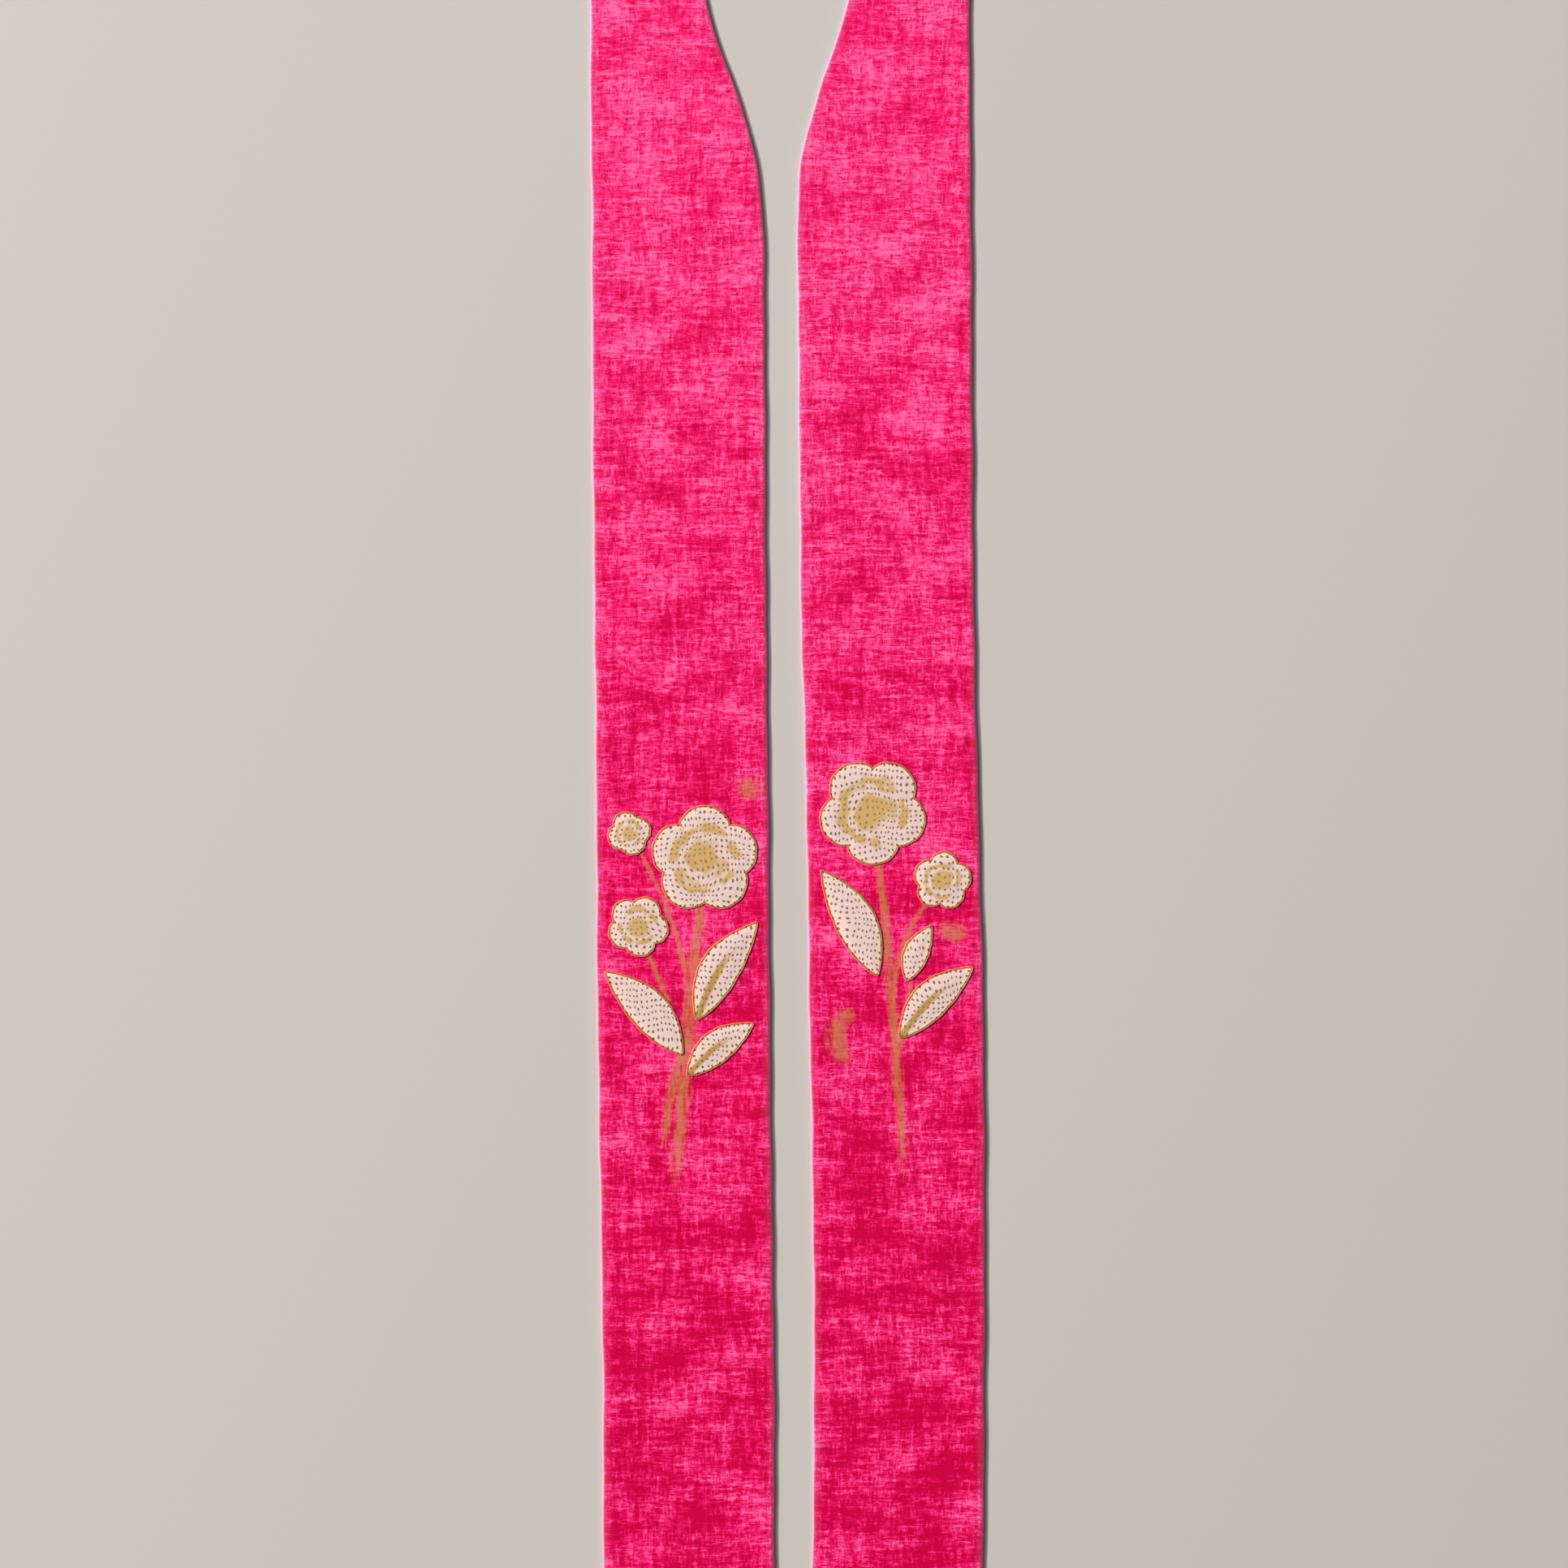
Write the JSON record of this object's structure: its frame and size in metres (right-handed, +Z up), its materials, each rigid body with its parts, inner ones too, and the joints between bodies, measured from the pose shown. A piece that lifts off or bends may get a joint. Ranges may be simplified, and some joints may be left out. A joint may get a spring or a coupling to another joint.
{
  "type": "clerical stole laid flat",
  "caption": "Long narrow neck scarf of hot-pink cotton, laid flat, with a shaped neck, two hanging fronts and a spray of dotted applique flowers on each.",
  "frame": {"origin": "on the surface that the stole lies on, under the middle of its bounding box", "axes": "+Z up off the surface, +Y along the fronts towards the neck, +X across to the half that lies on the right in the picture"},
  "size_m": [0.2731, 1.3072, 0.0039],
  "materials": {
    "pink_cotton": "matt linen-look cotton print",
    "dotted_cotton": "matt cotton with small printed dots",
    "gold_thread": "satin gold thread and fabric paint"
  },
  "bodies": {
    "root": {"stole_left_half": "pink_cotton", "stole_right_half": "pink_cotton", "left_large_blossom": "dotted_cotton", "left_middle_blossom": "dotted_cotton", "left_small_blossom": "dotted_cotton", "left_upper_leaf": "dotted_cotton", "left_side_leaf": "dotted_cotton", "left_lower_leaf": "dotted_cotton", "right_large_blossom": "dotted_cotton", "right_middle_blossom": "dotted_cotton", "right_side_leaf": "dotted_cotton", "right_upper_leaf": "dotted_cotton", "right_lower_leaf": "dotted_cotton"}
  },
  "joints": []
}
